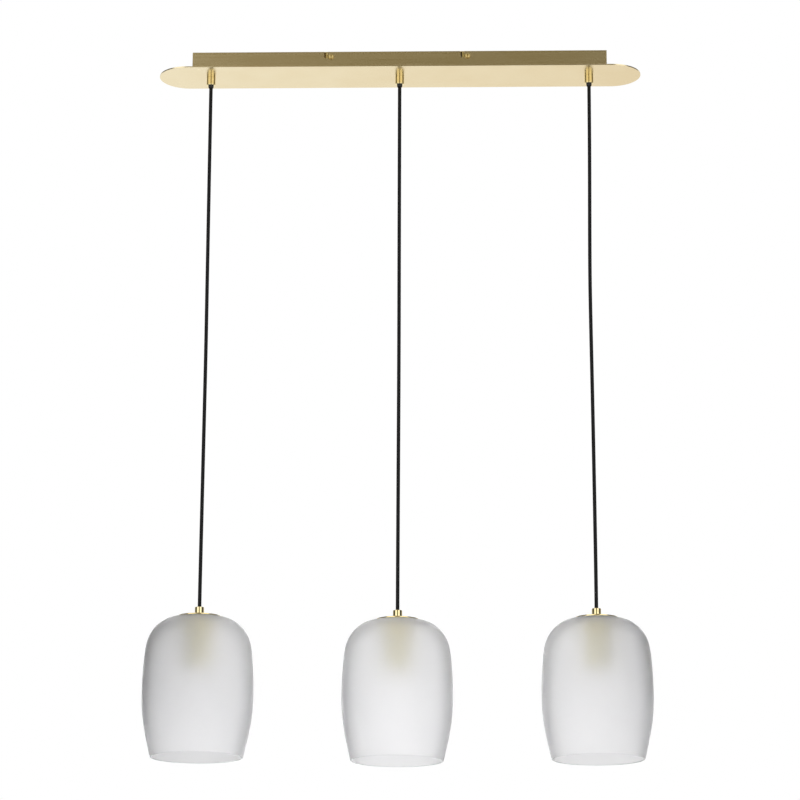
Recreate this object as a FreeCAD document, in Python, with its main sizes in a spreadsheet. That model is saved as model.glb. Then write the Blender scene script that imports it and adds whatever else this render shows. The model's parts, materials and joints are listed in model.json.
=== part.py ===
import FreeCAD, Part
import math
import os
import Sketcher

# A linear island pendant: three frosted glass shades on black cords under one long canopy.
# The origin is on the ceiling plane, at the centre of the two ceiling screws. +X runs along the
# plate, -Y faces the viewer and the lamp hangs down towards -Z.
SIZES = {
    # ceiling bracket
    "bracket_end": 11.0,
    "bracket_thick": 1.5,
    "tab_width": 18.0,
    "tab_edge": 7.0,
    "tab_gap": 0.4,
    "ceiling_screw_pitch": 160.0,
    "ceiling_slot_width": 5.5,
    "ceiling_slot_length": 12.0,
    "cable_hole": 16.0,
    # side screws and the slots that hang the canopy on them
    "side_screw_pitch": 230.0,
    "side_screw_drop": 9.0,
    "side_screw_shank": 5.0,
    "side_screw_head": 10.0,
    "side_screw_head_height": 3.0,
    "side_screw_slack": 0.2,
    "slot_gap": 0.8,
    "canopy_travel": 9.0,
    # canopy box and face plate: box_end is past an outer pendant, plate_end past the box
    "rim_gap": 0.5,
    "pendant_pitch": 320.0,
    "box_end": 29.0,
    "box_depth": 66.0,
    "box_height": 31.0,
    "box_wall": 1.5,
    "plate_end": 58.0,
    "plate_lip": 16.0,
    "plate_thick": 2.0,
    # what clamps a cord grip through the plate and the box floor
    "bore_gap": 0.5,
    "nipple_wall": 1.5,
    "thread_gap": 0.05,
    "nipple_stand": 6.0,
    "washer_thick": 0.8,
    "washer_width": 3.5,
    "nut_height": 3.5,
    "nut_wall": 2.0,
    # upper cord grip with its ball socket
    "grip_wall": 2.4,
    "grip_floor": 0.9,
    "grip_chamfer": 0.6,
    "grip_thread": 6.0,
    "ball_wall": 2.0,
    "ball_gap": 0.1,
    "pivot_height": 2.0,
    # the bush's neck and skirt, as widths beyond the cord
    "neck_wall": 0.95,
    "skirt_wall": 1.7,
    "skirt_end_wall": 0.9,
    "skirt_gap": 1.5,
    "bush_reach": 4.5,
    "swing_gap": 0.3,
    "rest_gap": 0.05,
    # cord
    "cord_diameter": 6.0,
    "cord_end_wall": 0.6,
    "cord_drop_left": 898.0,
    "cord_drop_middle": 903.6,
    "cord_drop_right": 900.9,
    "clamp_wall": 2.5,
    "clamp_height": 7.0,
    # lower cord grip and the nipple that carries the lamp
    "collar_wall": 2.5,
    "collar_height": 15.0,
    "collar_chamfer": 0.5,
    "collar_thread": 5.0,
    "lamp_nipple_length": 19.0,
    # cap, gasket and glass
    "cap_overlap": 14.0,
    "cap_thick": 2.0,
    "gasket_thick": 0.8,
    "gasket_inset": 1.0,
    "gasket_reach": 3.0,
    "glass_wall": 3.0,
    "glass_height": 225.5,
    "glass_waist": 178.5,
    "glass_waist_height": 110.0,
    "glass_rim": 148.5,
    "glass_hole_gap": 1.0,
    "glass_shoulder_height": 22.0,
    # lamp holder, built outwards from the lamp's thread and down from the cord's clamp
    "holder_room": 12.95,
    "holder_wall": 1.0,
    "holder_top": 3.0,
    "ring_width": 10.0,
    "ring_height": 6.0,
    "ring_gap": 0.1,
    "insert_gap": 0.2,
    "insert_wall": 5.0,
    "insert_recess": 2.0,
    "socket_floor": 10.0,
    "shell_bore": 26.6,
    "shell_wall": 0.5,
    "shell_recess": 1.0,
    "shell_length": 32.0,
    "contact_diameter": 7.0,
    "contact_height": 3.0,
    # wiring in the canopy
    "sheath_wall": 1.4,
    "lead_entry": 10.0,
    "lead_rise": 6.7,
    "lead_offset": 14.0,
    "block_place": 60.0,
    "block_length": 34.0,
    "block_depth": 18.0,
    "block_height": 14.0,
    "way_gap": 0.7,
    "block_pitch": 10.0,
    "block_screw": 4.0,
    "earth_place": 60.0,
    "earth_offset": 12.0,
    "earth_shank": 4.0,
    "earth_head": 8.0,
}
PENDANTS = {"left": -1, "middle": 0, "right": 1}

doc = FreeCAD.newDocument("island_pendant")
sheet = doc.addObject("Spreadsheet::Sheet", "Sizes")
for row, (alias, value) in enumerate(SIZES.items(), start=1):
    sheet.set(f"A{row}", alias)
    sheet.set(f"B{row}", str(value))
    sheet.setAlias(f"B{row}", alias)
doc.recompute()

# Sizes that follow from others, as expressions on the sheet's cells: half lengths and radii first.
CORD = "(Sizes.cord_diameter / 2)"
LEAD = f"({CORD} - Sizes.sheath_wall)"
WAY = f"({LEAD} + Sizes.way_gap)"
BORE = f"({CORD} + Sizes.bore_gap)"
NIPPLE = f"({BORE} + Sizes.nipple_wall)"
BALL = f"({CORD} + Sizes.ball_wall)"
SOCKET = f"({BALL} + Sizes.ball_gap)"
CORD_END = f"({CORD} + Sizes.cord_end_wall)"
SHELL = "(Sizes.shell_bore / 2 + Sizes.shell_wall)"
HOLDER_BORE = f"({SHELL} + Sizes.insert_wall + Sizes.insert_gap)"
HOLDER = f"({HOLDER_BORE} + Sizes.holder_wall)"
GLASS_HOLE = f"({HOLDER} + Sizes.glass_hole_gap)"
CAP = f"({GLASS_HOLE} + Sizes.cap_overlap)"
SLOT = "((Sizes.side_screw_shank + Sizes.slot_gap) / 2)"
BOX_REACH = "(Sizes.pendant_pitch + Sizes.box_end)"
PLATE_REACH = f"({BOX_REACH} + Sizes.plate_end)"
PLATE_ROUND = "(Sizes.box_depth / 2 + Sizes.plate_lip)"
BRACKET_REACH = "(Sizes.side_screw_pitch / 2 + Sizes.tab_width / 2 + Sizes.bracket_end)"
TAB_FACE = "(Sizes.box_depth / 2 - Sizes.box_wall - Sizes.tab_gap)"
# Heights that several pieces share, from the ceiling.
BOX_FLOOR = "-(Sizes.rim_gap + Sizes.box_height)"
PLATE_FACE = f"({BOX_FLOOR} - Sizes.plate_thick)"
GRIP_MOUTH = f"({PLATE_FACE} - Sizes.grip_thread - Sizes.grip_floor - {SOCKET} - Sizes.pivot_height)"
PIVOT = f"({GRIP_MOUTH} + Sizes.pivot_height)"
NIPPLE_TOP = f"({BOX_FLOOR} + Sizes.box_wall + Sizes.washer_thick + Sizes.nut_height + Sizes.nipple_stand)"
# Heights inside a lamp, from its lower grip's top.
CAP_TOP = "-Sizes.collar_height"
CAP_FACE = f"({CAP_TOP} - Sizes.cap_thick)"
LAMP_THREAD = f"({CAP_TOP} + Sizes.collar_thread)"
NIPPLE_END = f"({LAMP_THREAD} - Sizes.lamp_nipple_length)"
CLAMP_TOP = f"({NIPPLE_END} - Sizes.rest_gap)"
CLAMP_END = f"({CLAMP_TOP} - Sizes.clamp_height)"
INSERT_TOP = f"({CLAMP_END} - Sizes.holder_room)"
SOCKET_FLOOR = f"({INSERT_TOP} - Sizes.socket_floor)"
SHELL_TOP = f"({SOCKET_FLOOR} - Sizes.contact_height)"
SHELL_END = f"({SHELL_TOP} - Sizes.shell_length)"
INSERT_END = f"({SHELL_END} - Sizes.shell_recess)"
HOLDER_FOOT = f"({INSERT_END} - Sizes.insert_recess)"

parts = []


def worth(expression):
    """Value of an expression on the sheet, used where a curve or a wire is laid out by code."""
    found = sheet.evalExpression(expression)
    return float(getattr(found, "Value", found))


def tie(item, name, expression):
    item.setExpression(name, str(expression))


def keep(item, label, x="0", z="0", y="0"):
    """Names a finished sub-part and sets it in its place."""
    item.Label = label
    for axis, expression in zip("xyz", (x, y, z)):
        if expression != "0":
            tie(item, f"Placement.Base.{axis}", expression)
    parts.append(item)
    return item


def new_body(label):
    return doc.addObject("PartDesign::Body", label + "_body")


def new_sketch(body, role, name, offset=None):
    sketch = body.newObject("Sketcher::SketchObject", name)
    plane = next(item for item in body.Origin.OriginFeatures if item.Role == role)
    sketch.AttachmentSupport = [(plane, "")]
    sketch.MapMode = "FlatFace"
    if offset:
        tie(sketch, "AttachmentOffset.Base.z", offset)
    return sketch


def hold(sketch, geometry, point, name, x, y):
    """Fixes one point of a sketch at two expressions, measured from the sketch's origin."""
    for kind, axis, expression in (("DistanceX", -2, x), ("DistanceY", -1, y)):
        if expression == "0":
            sketch.addConstraint(Sketcher.Constraint("PointOnObject", geometry, point, axis))
            continue
        at = sketch.addConstraint(Sketcher.Constraint(kind, -1, 1, geometry, point, worth(expression)))
        label = f"{name}_{kind[-1].lower()}"
        sketch.renameConstraint(at, label)
        tie(sketch, f"Constraints.{label}", expression)


def polygon(sketch, corners, name="corner"):
    """Closed outline whose every corner is tied to a pair of expressions."""
    places = [FreeCAD.Vector(worth(x), worth(y), 0) for x, y in corners]
    first = sketch.GeometryCount
    for start, end in zip(places, places[1:] + places[:1]):
        sketch.addGeometry(Part.LineSegment(start, end))
    for step, (x, y) in enumerate(corners):
        before = first + (step - 1) % len(corners)
        sketch.addConstraint(Sketcher.Constraint("Coincident", before, 2, first + step, 1))
        hold(sketch, first + step, 1, f"{name}{step}", x, y)


def rectangle(sketch, x, y, half_x, half_y, name="side"):
    low_x, high_x = f"{x} - {half_x}", f"{x} + {half_x}"
    low_y, high_y = f"{y} - {half_y}", f"{y} + {half_y}"
    polygon(sketch, [(low_x, low_y), (high_x, low_y), (high_x, high_y), (low_x, high_y)], name)


def round_hole(sketch, x, y, radius, name):
    centre = FreeCAD.Vector(worth(x), worth(y), 0)
    at = sketch.addGeometry(Part.Circle(centre, FreeCAD.Vector(0, 0, 1), worth(radius)))
    hold(sketch, at, 3, name, x, y)
    size = sketch.addConstraint(Sketcher.Constraint("Radius", at, worth(radius)))
    sketch.renameConstraint(size, name + "_radius")
    tie(sketch, f"Constraints.{name}_radius", radius)


def stadium(sketch, x, y, reach, radius, name):
    """Outline with full round ends: reach is from its middle to the centre of each end."""
    cx, cy, far, r = worth(x), worth(y), worth(reach), worth(radius)
    up = FreeCAD.Vector(0, 0, 1)
    right = Part.Circle(FreeCAD.Vector(cx + far, cy, 0), up, r)
    left = Part.Circle(FreeCAD.Vector(cx - far, cy, 0), up, r)
    first = sketch.addGeometry(Part.ArcOfCircle(right, -math.pi / 2, math.pi / 2))
    sketch.addGeometry(Part.ArcOfCircle(left, math.pi / 2, 3 * math.pi / 2))
    for side in (1, -1):
        start = FreeCAD.Vector(cx + side * far, cy + side * r, 0)
        end = FreeCAD.Vector(cx - side * far, cy + side * r, 0)
        sketch.addGeometry(Part.LineSegment(start, end))
    for arc, point, line, end in ((0, 2, 2, 1), (1, 1, 2, 2), (1, 2, 3, 1), (0, 1, 3, 2)):
        sketch.addConstraint(Sketcher.Constraint("Tangent", first + arc, point, first + line, end))
    sketch.addConstraint(Sketcher.Constraint("Equal", first, first + 1))
    hold(sketch, first, 3, name + "_right", f"{x} + {reach}", y)
    hold(sketch, first + 1, 3, name + "_left", f"{x} - {reach}", y)
    size = sketch.addConstraint(Sketcher.Constraint("Radius", first, r))
    sketch.renameConstraint(size, name + "_radius")
    tie(sketch, f"Constraints.{name}_radius", radius)


def pad(body, sketch, length, down=False):
    feature = body.newObject("PartDesign::Pad", sketch.Name + "_pad")
    feature.Profile = sketch
    feature.Reversed = down
    tie(feature, "Length", length)
    return feature


def pocket(body, sketch, depth=None):
    """Cuts downwards by a depth, or through everything on both sides of the sketch."""
    feature = body.newObject("PartDesign::Pocket", sketch.Name + "_pocket")
    feature.Profile = sketch
    if depth:
        tie(feature, "Length", depth)
    else:
        feature.Midplane = True
        feature.Type = "ThroughAll"
    return feature


def turned(label, outline, x="0", z="0"):
    """A piece made on a lathe: its outline is pairs of radius and height, turned about Z."""
    body = new_body(label)
    sketch = new_sketch(body, "XZ_Plane", label + "_outline")
    polygon(sketch, outline)
    feature = body.newObject("PartDesign::Revolution", label + "_turned")
    feature.Profile = sketch
    feature.ReferenceAxis = (sketch, ["V_Axis"])
    feature.Angle = 360
    return keep(body, label, x, z)


def ring(label, inner, outer, low, high, x="0", z="0"):
    return turned(label, [(inner, low), (outer, low), (outer, high), (inner, high)], x, z)


def cylinder(name, radius, low, high, x="0", y="0"):
    item = doc.addObject("Part::Cylinder", name)
    tie(item, "Radius", radius)
    tie(item, "Height", f"({high}) - ({low})")
    for axis, expression in zip("xyz", (x, y, low)):
        tie(item, f"Placement.Base.{axis}", expression)
    return item


def cone(name, low_radius, high_radius, low, high):
    item = doc.addObject("Part::Cone", name)
    tie(item, "Radius1", low_radius)
    tie(item, "Radius2", high_radius)
    tie(item, "Height", f"({high}) - ({low})")
    tie(item, "Placement.Base.z", low)
    return item


def sphere(name, radius, height):
    item = doc.addObject("Part::Sphere", name)
    tie(item, "Radius", radius)
    tie(item, "Placement.Base.z", height)
    return item


def joined(name, pieces):
    item = doc.addObject("Part::MultiFuse", name)
    item.Shapes = pieces
    return item


def cut(name, base, tool):
    item = doc.addObject("Part::Cut", name)
    item.Base = base
    item.Tool = tool
    return item


def group(label, pieces):
    """Identical fasteners, kept as separate solids of one sub-part."""
    item = doc.addObject("Part::Compound", label + "_group")
    item.Links = pieces
    return keep(item, label)


def soft_path(points):
    """Straight runs joined by tangent arcs, each as large as its two runs allow."""
    edges, radii, last = [], [], points[0]
    for before, corner, after in zip(points, points[1:], points[2:]):
        back, on = before - corner, after - corner
        half_turn = (math.pi - back.getAngle(on)) / 2
        trim = 0.45 * min(back.Length, on.Length)
        start = corner + back.normalize() * trim
        end = corner + on.normalize() * trim
        radii.append(trim / math.tan(half_turn))
        inward = ((start + end) / 2 - corner).normalize()
        middle = corner + inward * (radii[-1] / math.cos(half_turn) - radii[-1])
        edges += [Part.LineSegment(last, start).toShape(), Part.Arc(start, middle, end).toShape()]
        last = end
    edges.append(Part.LineSegment(last, points[-1]).toShape())
    return Part.Wire(edges), radii


def tube(label, points, diameter):
    """A cable with its smallest bend printed, and its volume held against its length."""
    wire, radii = soft_path(points)
    heading = wire.Edges[0].tangentAt(wire.Edges[0].FirstParameter)
    section = Part.Wire([Part.makeCircle(diameter / 2, points[0], heading)])
    item = doc.addObject("Part::Feature", label + "_tube")
    item.Shape = wire.makePipeShell([section], True, False)
    expected = math.pi * diameter**2 / 4 * wire.Length
    share = item.Shape.Volume / expected
    print(f"{label}: length {wire.Length:.1f}, smallest radius {min(radii):.1f}, volume share {share:.4f}")
    if abs(share - 1) > 0.01:
        raise ValueError(f"{label} doesn't hold its section along its path")
    return keep(item, label)


def mounting_bracket():
    body = new_body("mounting_bracket")
    strap = new_sketch(body, "XY_Plane", "strap_outline")
    rectangle(strap, "0", "0", BRACKET_REACH, TAB_FACE)
    pad(body, strap, "Sizes.bracket_thick", down=True)
    tabs = new_sketch(body, "XY_Plane", "tab_outline")
    inner = f"({TAB_FACE} - Sizes.bracket_thick)"
    for number, (across, side) in enumerate(((-1, -1), (1, -1), (1, 1), (-1, 1))):
        x = f"{across} * Sizes.side_screw_pitch / 2"
        y = f"{side} * ({TAB_FACE} + {inner}) / 2"
        rectangle(tabs, x, y, "Sizes.tab_width / 2", "Sizes.bracket_thick / 2", f"tab{number}_")
    pad(body, tabs, "Sizes.side_screw_drop + Sizes.tab_edge", down=True)
    holes = new_sketch(body, "XY_Plane", "ceiling_holes")
    round_hole(holes, "0", "0", "Sizes.cable_hole / 2", "cable")
    for name, side in (("left", -1), ("right", 1)):
        x = f"{side} * Sizes.ceiling_screw_pitch / 2"
        reach = "(Sizes.ceiling_slot_length - Sizes.ceiling_slot_width) / 2"
        stadium(holes, x, "0", reach, "Sizes.ceiling_slot_width / 2", name)
    pocket(body, holes)
    threads = new_sketch(body, "XZ_Plane", "tab_threads")
    for name, side in (("left", -1), ("right", 1)):
        x = f"{side} * Sizes.side_screw_pitch / 2"
        round_hole(threads, x, "-Sizes.side_screw_drop", "Sizes.side_screw_shank / 2", name)
    pocket(body, threads)
    keep(body, "mounting_bracket")


def bracket_screws():
    """Round-head screws through the box wall's slots into the bracket tabs, two front and two back."""
    screws = []
    outside = "(Sizes.box_depth / 2 + Sizes.side_screw_slack)"
    for across in (-1, 1):
        for side in (-1, 1):
            name = f"side_screw_{'left' if across < 0 else 'right'}_{'front' if side < 0 else 'back'}"
            shank = doc.addObject("Part::Cylinder", name + "_shank")
            tie(shank, "Radius", "Sizes.side_screw_shank / 2 - Sizes.thread_gap")
            tie(shank, "Height", f"{outside} - {TAB_FACE} + Sizes.bracket_thick + 1")
            tie(shank, "Placement.Base.y", f"{side} * ({TAB_FACE} - Sizes.bracket_thick - 1)")
            # The head is the part of a ball that stands above its flat underside.
            ball = doc.addObject("Part::Sphere", name + "_ball")
            height, radius = "Sizes.side_screw_head_height", "Sizes.side_screw_head / 2"
            crown = f"(({radius})^2 + {height}^2) / (2 * {height})"
            tie(ball, "Radius", crown)
            tie(ball, "Placement.Base.y", f"{side} * ({outside} + {height} - {crown})")
            block = doc.addObject("Part::Box", name + "_stock")
            for prop in ("Length", "Width"):
                tie(block, prop, "Sizes.side_screw_head + 2")
            tie(block, "Height", height)
            tie(block, "Placement.Base.y", f"{side} * {outside}")
            for item in (shank, block):
                item.Placement.Rotation = FreeCAD.Rotation(FreeCAD.Vector(1, 0, 0), -90 * side)
            drop = "-Sizes.side_screw_drop"
            place = f"{across} * Sizes.side_screw_pitch / 2"
            for item in (shank, ball):
                tie(item, "Placement.Base.x", place)
                tie(item, "Placement.Base.z", drop)
            tie(block, "Placement.Base.x", f"{place} - Sizes.side_screw_head / 2 - 1")
            tie(block, "Placement.Base.z", f"{drop} + {side} * (Sizes.side_screw_head / 2 + 1)")
            head = doc.addObject("Part::Common", name + "_head")
            head.Base, head.Tool = ball, block
            screws.append(joined(name, [shank, head]))
    group("bracket_screws", screws)


def canopy_box():
    """Folded tray, open towards the ceiling, with an L-shaped slot for each side screw."""
    body = new_body("canopy_box")
    outer = new_sketch(body, "XY_Plane", "box_outline", "-Sizes.rim_gap")
    rectangle(outer, "0", "0", BOX_REACH, "Sizes.box_depth / 2")
    pad(body, outer, "Sizes.box_height", down=True)
    inner = new_sketch(body, "XY_Plane", "box_inside", "-Sizes.rim_gap")
    clear_x = f"({BOX_REACH} - Sizes.box_wall)"
    clear_y = "(Sizes.box_depth / 2 - Sizes.box_wall)"
    rectangle(inner, "0", "0", clear_x, clear_y)
    pocket(body, inner, "Sizes.box_height - Sizes.box_wall")
    holes = new_sketch(body, "XY_Plane", "box_grip_holes")
    for name, side in PENDANTS.items():
        x = f"{side} * Sizes.pendant_pitch" if side else "0"
        round_hole(holes, x, "0", NIPPLE, name)
    round_hole(holes, "-Sizes.earth_place", "Sizes.earth_offset", "Sizes.earth_shank / 2", "earth")
    pocket(body, holes)
    for name, side in (("left", -1), ("right", 1)):
        x = f"{side} * Sizes.side_screw_pitch / 2"
        mouth = new_sketch(body, "XZ_Plane", f"slot_mouth_{name}")
        low = "-Sizes.side_screw_drop"
        sides = [f"{x} - Sizes.canopy_travel - {SLOT}", f"{x} - Sizes.canopy_travel + {SLOT}"]
        polygon(mouth, [(sides[0], low), (sides[1], low), (sides[1], "1"), (sides[0], "1")])
        pocket(body, mouth)
        leg = new_sketch(body, "XZ_Plane", f"slot_leg_{name}")
        stadium(leg, f"{x} - Sizes.canopy_travel / 2", low, "Sizes.canopy_travel / 2", SLOT, "leg")
        pocket(body, leg)
    keep(body, "canopy_box")


def face_plate():
    body = new_body("face_plate")
    outline = new_sketch(body, "XY_Plane", "plate_outline", BOX_FLOOR)
    stadium(outline, "0", "0", f"({PLATE_REACH} - {PLATE_ROUND})", PLATE_ROUND, "plate")
    pad(body, outline, "Sizes.plate_thick", down=True)
    holes = new_sketch(body, "XY_Plane", "plate_grip_holes")
    for name, side in PENDANTS.items():
        x = f"{side} * Sizes.pendant_pitch" if side else "0"
        round_hole(holes, x, "0", NIPPLE, name)
    pocket(body, holes)
    keep(body, "face_plate")


def grip_sleeve(side_name, x):
    """Turned brass grip: a thread above, a wire way, and a ball socket at its mouth."""
    label = f"grip_sleeve_{side_name}"
    body = new_body(label)
    outer, chamfer = f"({SOCKET} + Sizes.grip_wall)", "Sizes.grip_chamfer"
    thread_end = f"({PLATE_FACE} - Sizes.grip_thread)"
    sketch = new_sketch(body, "XZ_Plane", label + "_outline")
    polygon(
        sketch,
        [
            (BORE, thread_end),
            (NIPPLE, thread_end),
            (NIPPLE, PLATE_FACE),
            (outer, PLATE_FACE),
            (outer, f"{GRIP_MOUTH} + {chamfer}"),
            (f"{outer} - {chamfer}", GRIP_MOUTH),
            (BORE, GRIP_MOUTH),
        ],
    )
    feature = body.newObject("PartDesign::Revolution", label + "_turned")
    feature.Profile = sketch
    feature.ReferenceAxis = (sketch, ["V_Axis"])
    feature.Angle = 360
    keep(cut(label + "_cut", body, sphere(label + "_socket", SOCKET, PIVOT)), label, x)


def grip_nipple(side_name, x):
    """Hollow threaded tube that clamps the grip, the plate and the box floor together."""
    low = f"({PLATE_FACE} - Sizes.grip_thread)"
    ring(f"grip_nipple_{side_name}", BORE, f"{NIPPLE} - Sizes.thread_gap", low, NIPPLE_TOP, x)


def nipple_fasteners():
    washers, nuts = [], []
    floor = f"({BOX_FLOOR} + Sizes.box_wall)"
    seat = f"({floor} + Sizes.washer_thick)"
    for name, side in PENDANTS.items():
        x = f"{side} * Sizes.pendant_pitch"
        disc = cylinder(f"washer_disc_{name}", f"{NIPPLE} + Sizes.washer_width", floor, seat, x)
        hole = cylinder(f"washer_hole_{name}", NIPPLE, f"{floor} - 1", f"{seat} + 1", x)
        washers.append(cut(f"washer_{name}", disc, hole))
        hexagon = doc.addObject("Part::Prism", f"nut_blank_{name}")
        hexagon.Polygon = 6
        tie(hexagon, "Circumradius", f"2 * ({NIPPLE} + Sizes.nut_wall) / sqrt(3)")
        tie(hexagon, "Height", "Sizes.nut_height")
        tie(hexagon, "Placement.Base.x", x)
        tie(hexagon, "Placement.Base.z", seat)
        thread = cylinder(f"nut_hole_{name}", NIPPLE, f"{seat} - 1", f"{seat} + Sizes.nut_height + 1", x)
        nuts.append(cut(f"nut_{name}", hexagon, thread))
    group("nipple_washers", washers)
    group("nipple_nuts", nuts)


def terminal_block():
    """Moulded block with a wire way from end to end for each pole, and a screw above each way."""
    floor = f"({BOX_FLOOR} + Sizes.box_wall)"
    stock = doc.addObject("Part::Box", "block_stock")
    for prop, alias in (("Length", "block_length"), ("Width", "block_depth"), ("Height", "block_height")):
        tie(stock, prop, f"Sizes.{alias}")
    tie(stock, "Placement.Base.x", "Sizes.block_place - Sizes.block_length / 2")
    tie(stock, "Placement.Base.y", "-Sizes.block_depth / 2")
    tie(stock, "Placement.Base.z", floor)
    ways, screws = [], []
    for number, side in enumerate((-0.5, 0.5)):
        y = f"{side} * Sizes.block_pitch"
        way = doc.addObject("Part::Cylinder", f"block_way_{number}")
        way.Placement.Rotation = FreeCAD.Rotation(FreeCAD.Vector(0, 1, 0), 90)
        tie(way, "Radius", WAY)
        tie(way, "Height", "Sizes.block_length + 2")
        tie(way, "Placement.Base.x", "Sizes.block_place - Sizes.block_length / 2 - 1")
        tie(way, "Placement.Base.y", y)
        tie(way, "Placement.Base.z", f"{floor} + Sizes.block_height / 2")
        ways.append(way)
        for end in (-1, 1):
            x = f"Sizes.block_place + {end} * Sizes.block_length / 4"
            low = f"{floor} + Sizes.block_height / 2 + {WAY}"
            high = f"{floor} + Sizes.block_height"
            shaft = cylinder(f"block_hole_{number}_{end + 1}", "Sizes.block_screw / 2", low, f"{high} + 1", x, y)
            ways.append(shaft)
            radius = "Sizes.block_screw / 2 - Sizes.thread_gap"
            screws.append(cylinder(f"block_screw_{number}_{end + 1}", radius, low, f"{high} - 1", x, y))
    keep(cut("block_cut", stock, joined("block_ways", ways)), "terminal_block")
    group("terminal_screws", screws)


def earth_fasteners():
    """Screw through the box floor, its head in the box, for the earth wires."""
    floor = f"({BOX_FLOOR} + Sizes.box_wall)"
    x, y = "-Sizes.earth_place", "Sizes.earth_offset"
    shank_radius = "Sizes.earth_shank / 2 - Sizes.thread_gap"
    top = f"({floor} + 9)"
    shank = cylinder("earth_shank", shank_radius, BOX_FLOOR, top, x, y)
    head = cylinder("earth_head", "Sizes.earth_head / 2", top, f"{top} + 2.4", x, y)
    keep(joined("earth_screw_whole", [shank, head]), "earth_screw")
    disc = cylinder("earth_nut_blank", "Sizes.earth_head / 2", floor, f"{floor} + 3", x, y)
    hole = cylinder("earth_nut_hole", "Sizes.earth_shank / 2", f"{floor} - 1", f"{floor} + 4", x, y)
    keep(cut("earth_nut_cut", disc, hole), "earth_nut")


def canopy_leads():
    """Inner leads: up out of a grip's nipple, down to the box floor and along it to the terminal block."""
    diameter = 2 * worth(LEAD)
    start = worth(f"{PLATE_FACE} - Sizes.grip_thread") + 2
    high = worth(f"{NIPPLE_TOP} + Sizes.lead_rise")
    floor = worth(f"{BOX_FLOOR} + Sizes.box_wall") + diameter / 2 + 0.2
    entry = floor + worth("Sizes.block_height") / 2 - diameter / 2 - 0.2
    pitch, place = worth("Sizes.pendant_pitch"), worth("Sizes.block_place")
    end, way = worth("Sizes.block_length") / 2, worth("Sizes.block_pitch") / 2
    offset, longest_run = worth("Sizes.lead_offset"), 52.0
    for name, side in PENDANTS.items():
        x = side * pitch
        towards = 1 if x < place else -1
        goal = FreeCAD.Vector(place - towards * end, -way if side else way, entry)
        points = [FreeCAD.Vector(x, 0, start), FreeCAD.Vector(x, 0, high)]
        points.append(FreeCAD.Vector(x + towards * 24, -4 if side else 2, high - 0.5))
        if side:
            points.append(FreeCAD.Vector(x + towards * 50, -10, high - 10))
            first, last = x + towards * 84, goal.x - towards * 34
            runs = math.ceil(abs(last - first) / longest_run)
            for step in range(runs + 1):
                stray = (0, 1.6)[step % 2]
                place_x = first + (last - first) * step / runs
                points.append(FreeCAD.Vector(place_x, stray - offset, floor + stray / 8))
            points.append(FreeCAD.Vector(goal.x - towards * 13, goal.y - 2.5, entry - 1))
        # The last run goes straight into the block's way.
        points.append(goal)
        points.append(goal + FreeCAD.Vector(towards * worth("Sizes.lead_entry"), 0.01, 0.01))
        tube(f"lead_{name}", points, diameter)


def swivel_bush(side_name, x):
    """Black moulded bush: a ball caught behind the grip's mouth, a neck and a skirt round the cord."""
    label = f"swivel_bush_{side_name}"
    end = f"({GRIP_MOUTH} - Sizes.bush_reach)"
    skirt_top = f"({GRIP_MOUTH} - Sizes.skirt_gap)"
    ball = sphere(label + "_ball", BALL, PIVOT)
    neck = cylinder(label + "_neck", f"{CORD} + Sizes.neck_wall", skirt_top, PIVOT)
    skirt_radii = (f"{CORD} + Sizes.skirt_end_wall", f"{CORD} + Sizes.skirt_wall")
    skirt = cone(label + "_skirt", *skirt_radii, end, skirt_top)
    solid = joined(label + "_solid", [ball, neck, skirt])
    # The hollow catches the cord's ball end, and the way below it widens for the swing sideways.
    hollow = sphere(label + "_hollow", f"{CORD_END} + Sizes.ball_gap", PIVOT)
    way_radii = (f"{CORD} + 2 * Sizes.swing_gap", f"{CORD} + Sizes.swing_gap")
    way = cone(label + "_way", *way_radii, f"({end} - 1)", PIVOT)
    keep(cut(label + "_cut", solid, joined(label + "_inside", [hollow, way])), label, x)


def cord_pieces(side_name, x):
    """Cord from its ball end in the bush to the clamp that holds it under the lamp's nipple."""
    label = f"cord_{side_name}"
    lamp_top = f"({GRIP_MOUTH} - Sizes.cord_drop_{side_name})"
    clamp_top, clamp_end = f"({lamp_top} + {CLAMP_TOP})", f"({lamp_top} + {CLAMP_END})"
    ball = sphere(label + "_end", CORD_END, PIVOT)
    run = cylinder(label + "_run", CORD, clamp_end, PIVOT)
    keep(joined(label + "_whole", [ball, run]), label, x)
    ring(f"cord_clamp_{side_name}", CORD, f"{CORD} + Sizes.clamp_wall", clamp_end, clamp_top, x)


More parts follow.
